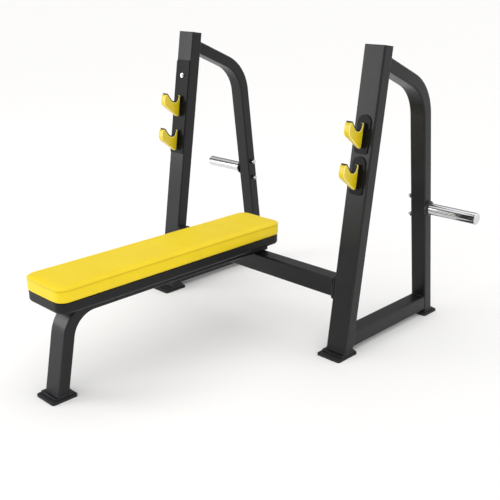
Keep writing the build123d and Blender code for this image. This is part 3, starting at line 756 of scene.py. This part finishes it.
def make_welds(materials):
    mesh = bmesh.new()
    weld_foot(mesh, "bench_tube")
    for side in ("left", "right"):
        weld_foot(mesh, f"upright_{side}")
        weld_foot(mesh, f"rear_leg_{side}")
        weld_end(mesh, f"side_rail_{side}", f"upright_{side}", -1.0)
        weld_end(mesh, f"side_rail_{side}", f"rear_leg_{side}", 1.0)
    finish_piece(mesh, "weld_beads", materials["frame_black"])


# ---------------------------------------------------------------- studio

def facing(way):
    """Rotation of a camera or light that looks along a direction."""
    return way.to_track_quat("-Z", "Y").to_euler()


def direction_to_camera():
    azimuth = math.radians(CAMERA_AZIMUTH)
    elevation = math.radians(CAMERA_ELEVATION)
    return Vector((math.sin(azimuth) * math.cos(elevation), -math.cos(azimuth) * math.cos(elevation),
                   math.sin(elevation)))


def make_camera():
    data = bpy.data.cameras.new("camera")
    data.lens = CAMERA_LENS
    data.sensor_width = SENSOR
    data.clip_end = CAMERA_REACH
    camera = bpy.data.objects.new("camera", data)
    bpy.context.scene.collection.objects.link(camera)
    towards = direction_to_camera()
    camera.location = CAMERA_TARGET + towards * CAMERA_DISTANCE
    camera.rotation_euler = facing(-towards)
    bpy.context.scene.camera = camera


def area_light(name, place, aim, size, watts):
    data = bpy.data.lights.new(name, "AREA")
    data.shape = "RECTANGLE"
    data.size, data.size_y = size
    data.energy = watts
    light = bpy.data.objects.new(name, data)
    bpy.context.scene.collection.objects.link(light)
    light.location = place
    light.rotation_euler = facing(Vector(aim) - Vector(place))


def sky_ramp(nodes, links, height, stops):
    """Grey ramp over the height of a direction."""
    ramp = nodes.new("ShaderNodeValToRGB")
    links.new(height, ramp.inputs["Fac"])
    elements = ramp.color_ramp.elements
    while len(elements) < len(stops):
        elements.new(0.5)
    for element, (place, grey) in zip(elements, stops):
        element.position = place
        element.color = (grey, grey, grey, 1.0)
    return ramp.outputs["Color"]


def sky_mix(nodes, links, factor, first):
    """Mix node with its factor and first colour linked."""
    node = nodes.new("ShaderNodeMix")
    node.data_type = "RGBA"
    links.new(factor, node.inputs["Factor"])
    links.new(first, node.inputs["A"])
    return node


def make_world():
    """White sky that fades towards the horizon; on the -X side it is mostly dark with one bright strip.
    It lights the scene, and a plain pale backdrop shows in its place.
    """
    world = bpy.data.worlds.new("studio")
    bpy.context.scene.world = world
    world.use_nodes = True
    nodes = world.node_tree.nodes
    links = world.node_tree.links
    split = nodes.new("ShaderNodeSeparateXYZ")
    links.new(nodes.new("ShaderNodeTexCoord").outputs["Generated"], split.inputs["Vector"])
    side = nodes.new("ShaderNodeMapRange")
    side.inputs["From Min"].default_value = SIDE_FROM
    side.inputs["From Max"].default_value = SIDE_FULL
    links.new(split.outputs["X"], side.inputs["Value"])
    height = split.outputs["Z"]
    both = sky_mix(nodes, links, side.outputs["Result"], sky_ramp(nodes, links, height, SKY))
    links.new(sky_ramp(nodes, links, height, SIDE_SKY), both.inputs["B"])
    seen = nodes.new("ShaderNodeLightPath").outputs["Is Camera Ray"]
    shown = sky_mix(nodes, links, seen, both.outputs["Result"])
    shown.inputs["B"].default_value = BACKDROP
    background = nodes["Background"]
    links.new(shown.outputs["Result"], background.inputs["Color"])
    background.inputs["Strength"].default_value = SKY_STRENGTH


def make_floor():
    mesh = bmesh.new()
    bmesh.ops.create_grid(mesh, x_segments=4, y_segments=4, size=FLOOR_HALF_SIZE)
    data = to_data(mesh, "floor")
    add_object("floor", data, floor_paper("floor_paper"))


def make_studio():
    make_camera()
    make_world()
    make_floor()
    area_light("key", *KEY_LIGHT)
    view = bpy.context.scene.view_settings
    view.view_transform = "Standard"
    view.look = "None"


materials = make_materials()
dress_cad(materials)
make_studio()
pad = make_pad(materials)
make_pad_seam(pad, materials)
make_welds(materials)
